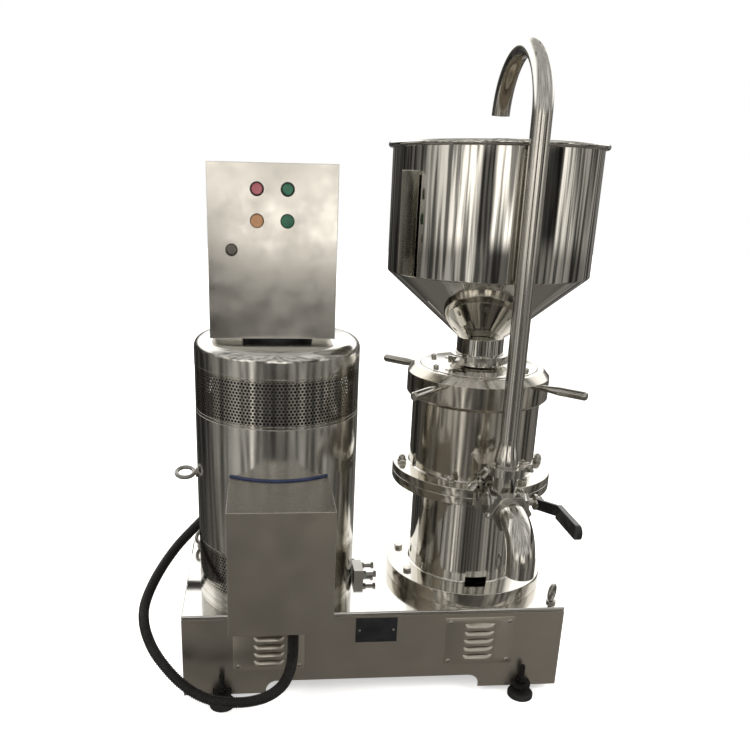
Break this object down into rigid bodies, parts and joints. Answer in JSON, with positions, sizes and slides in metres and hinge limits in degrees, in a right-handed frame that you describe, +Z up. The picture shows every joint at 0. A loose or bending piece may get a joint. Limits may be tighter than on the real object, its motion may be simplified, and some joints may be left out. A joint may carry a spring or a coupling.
{
  "type": "colloid mill",
  "caption": "Split vertical colloid mill: covered motor with control box, belt-driven grinding head with hopper, adjusting ring, three-way outlet valve and recirculation pipe on a louvred base.",
  "frame": {"origin": "centre of the underside of the box around the machine without its conduit, on the floor", "axes": "+Z up, -Y towards the front with the outlet valve, +X towards the grinding head"},
  "size_m": [1.0414, 0.6839, 1.454],
  "materials": {
    "polished_steel": "mirror polished stainless steel",
    "satin_steel": "satin stainless sheet",
    "black_steel": "black finish",
    "black_rubber": "matte",
    "black_plastic": "matte",
    "blue_trim": "satin",
    "grey_iron": "machined and painted",
    "copper_winding": "varnished winding",
    "shaft_steel": "ground",
    "switchgear_plastic": "matte",
    "amber_lens": "clear lens",
    "red_plastic": "gloss",
    "green_plastic": "gloss"
  },
  "bodies": {
    "machine": {"base_plate": "polished_steel", "motor_cover": "polished_steel", "pedestal": "polished_steel", "mill_housing": "polished_steel", "discharge_box": "polished_steel", "feed_cover": "polished_steel", "hopper": "polished_steel", "hopper_clamp": "polished_steel", "tube_clamps": "polished_steel", "valve_body": "polished_steel", "valve_bonnet": "polished_steel", "union_nut": "polished_steel", "outlet_elbow": "polished_steel", "recirculation_pipe": "polished_steel", "flange_bolts": "polished_steel", "cover_screws": "polished_steel", "lifting_eyes": "polished_steel", "panel_screws": "polished_steel", "base_bolts": "polished_steel", "base_skin": "satin_steel", "access_panels": "satin_steel", "terminal_box": "satin_steel", "control_box": "satin_steel", "foot_lugs": "black_steel", "levelling_screws": "black_steel", "belt_tensioner": "black_steel", "upper_vent_band": "black_steel", "lower_vent_band": "black_steel", "box_saddle": "black_steel", "base_frame": "black_steel", "foot_pads": "black_rubber", "drive_belts": "black_rubber", "conduit": "black_plastic", "cable_glands": "black_plastic", "nameplate": "black_plastic", "edge_trim": "blue_trim", "motor_housing": "grey_iron", "bearing_sleeve": "grey_iron", "motor_stator": "copper_winding", "spindle_bearings": "shaft_steel", "stator": "shaft_steel", "control_gear": "switchgear_plastic"},
    "motor_rotor": {"motor_shaft": "shaft_steel", "motor_fan": "black_plastic", "drive_pulley": "grey_iron"},
    "mill_spindle": {"spindle": "shaft_steel", "driven_pulley": "grey_iron", "rotor": "shaft_steel"},
    "ring": {"adjusting_ring": "polished_steel", "ring_handles": "polished_steel"},
    "valve": {"valve_plug": "polished_steel", "valve_lever": "polished_steel", "lever_grip": "black_plastic"},
    "door": {"box_door": "satin_steel", "push_bezels": "polished_steel", "pilot_lamps": "amber_lens"},
    "stop": {"stop_button": "red_plastic"},
    "start": {"start_button": "green_plastic"},
    "lock": {"door_lock": "polished_steel"}
  },
  "joints": [
    {"name": "motor_spin", "type": "hinge", "parent": "machine", "child": "motor_rotor", "pos_m": [-0.2328, 0.0995, 0.4], "axis": [0, 0, 1], "continuous": true},
    {"name": "spindle_spin", "type": "hinge", "parent": "machine", "child": "mill_spindle", "pos_m": [0.2422, 0.0995, 0.4], "axis": [0, 0, 1], "continuous": true},
    {"name": "ring_turn", "type": "hinge", "parent": "machine", "child": "ring", "pos_m": [0.2422, 0.0995, 0.748], "axis": [0, 0, 1], "range_deg": [-35, 35]},
    {"name": "valve_turn", "type": "hinge", "parent": "machine", "child": "valve", "pos_m": [0.2822, -0.1685, 0.535], "axis": [1, 0, 0], "range_deg": [0, 90]},
    {"name": "door_swing", "type": "hinge", "parent": "machine", "child": "door", "pos_m": [-0.1163, 0.0135, 1.032], "axis": [0, 0, 1], "range_deg": [0, 105]},
    {"name": "lock_turn", "type": "hinge", "parent": "door", "child": "lock", "pos_m": [-0.3313, 0.0095, 1.039], "axis": [0, 1, 0], "range_deg": [0, 90]},
    {"name": "stop_press", "type": "slide", "parent": "door", "child": "stop", "axis": [0, 1, 0], "range_m": [0, 0.004], "stiffness_N_per_m": 300, "springref_m": -0.002},
    {"name": "start_press", "type": "slide", "parent": "door", "child": "start", "axis": [0, 1, 0], "range_m": [0, 0.004], "stiffness_N_per_m": 300, "springref_m": -0.002}
  ],
  "couplings": [
    {"joint": "spindle_spin", "follows": "motor_spin", "ratio": 1}
  ]
}
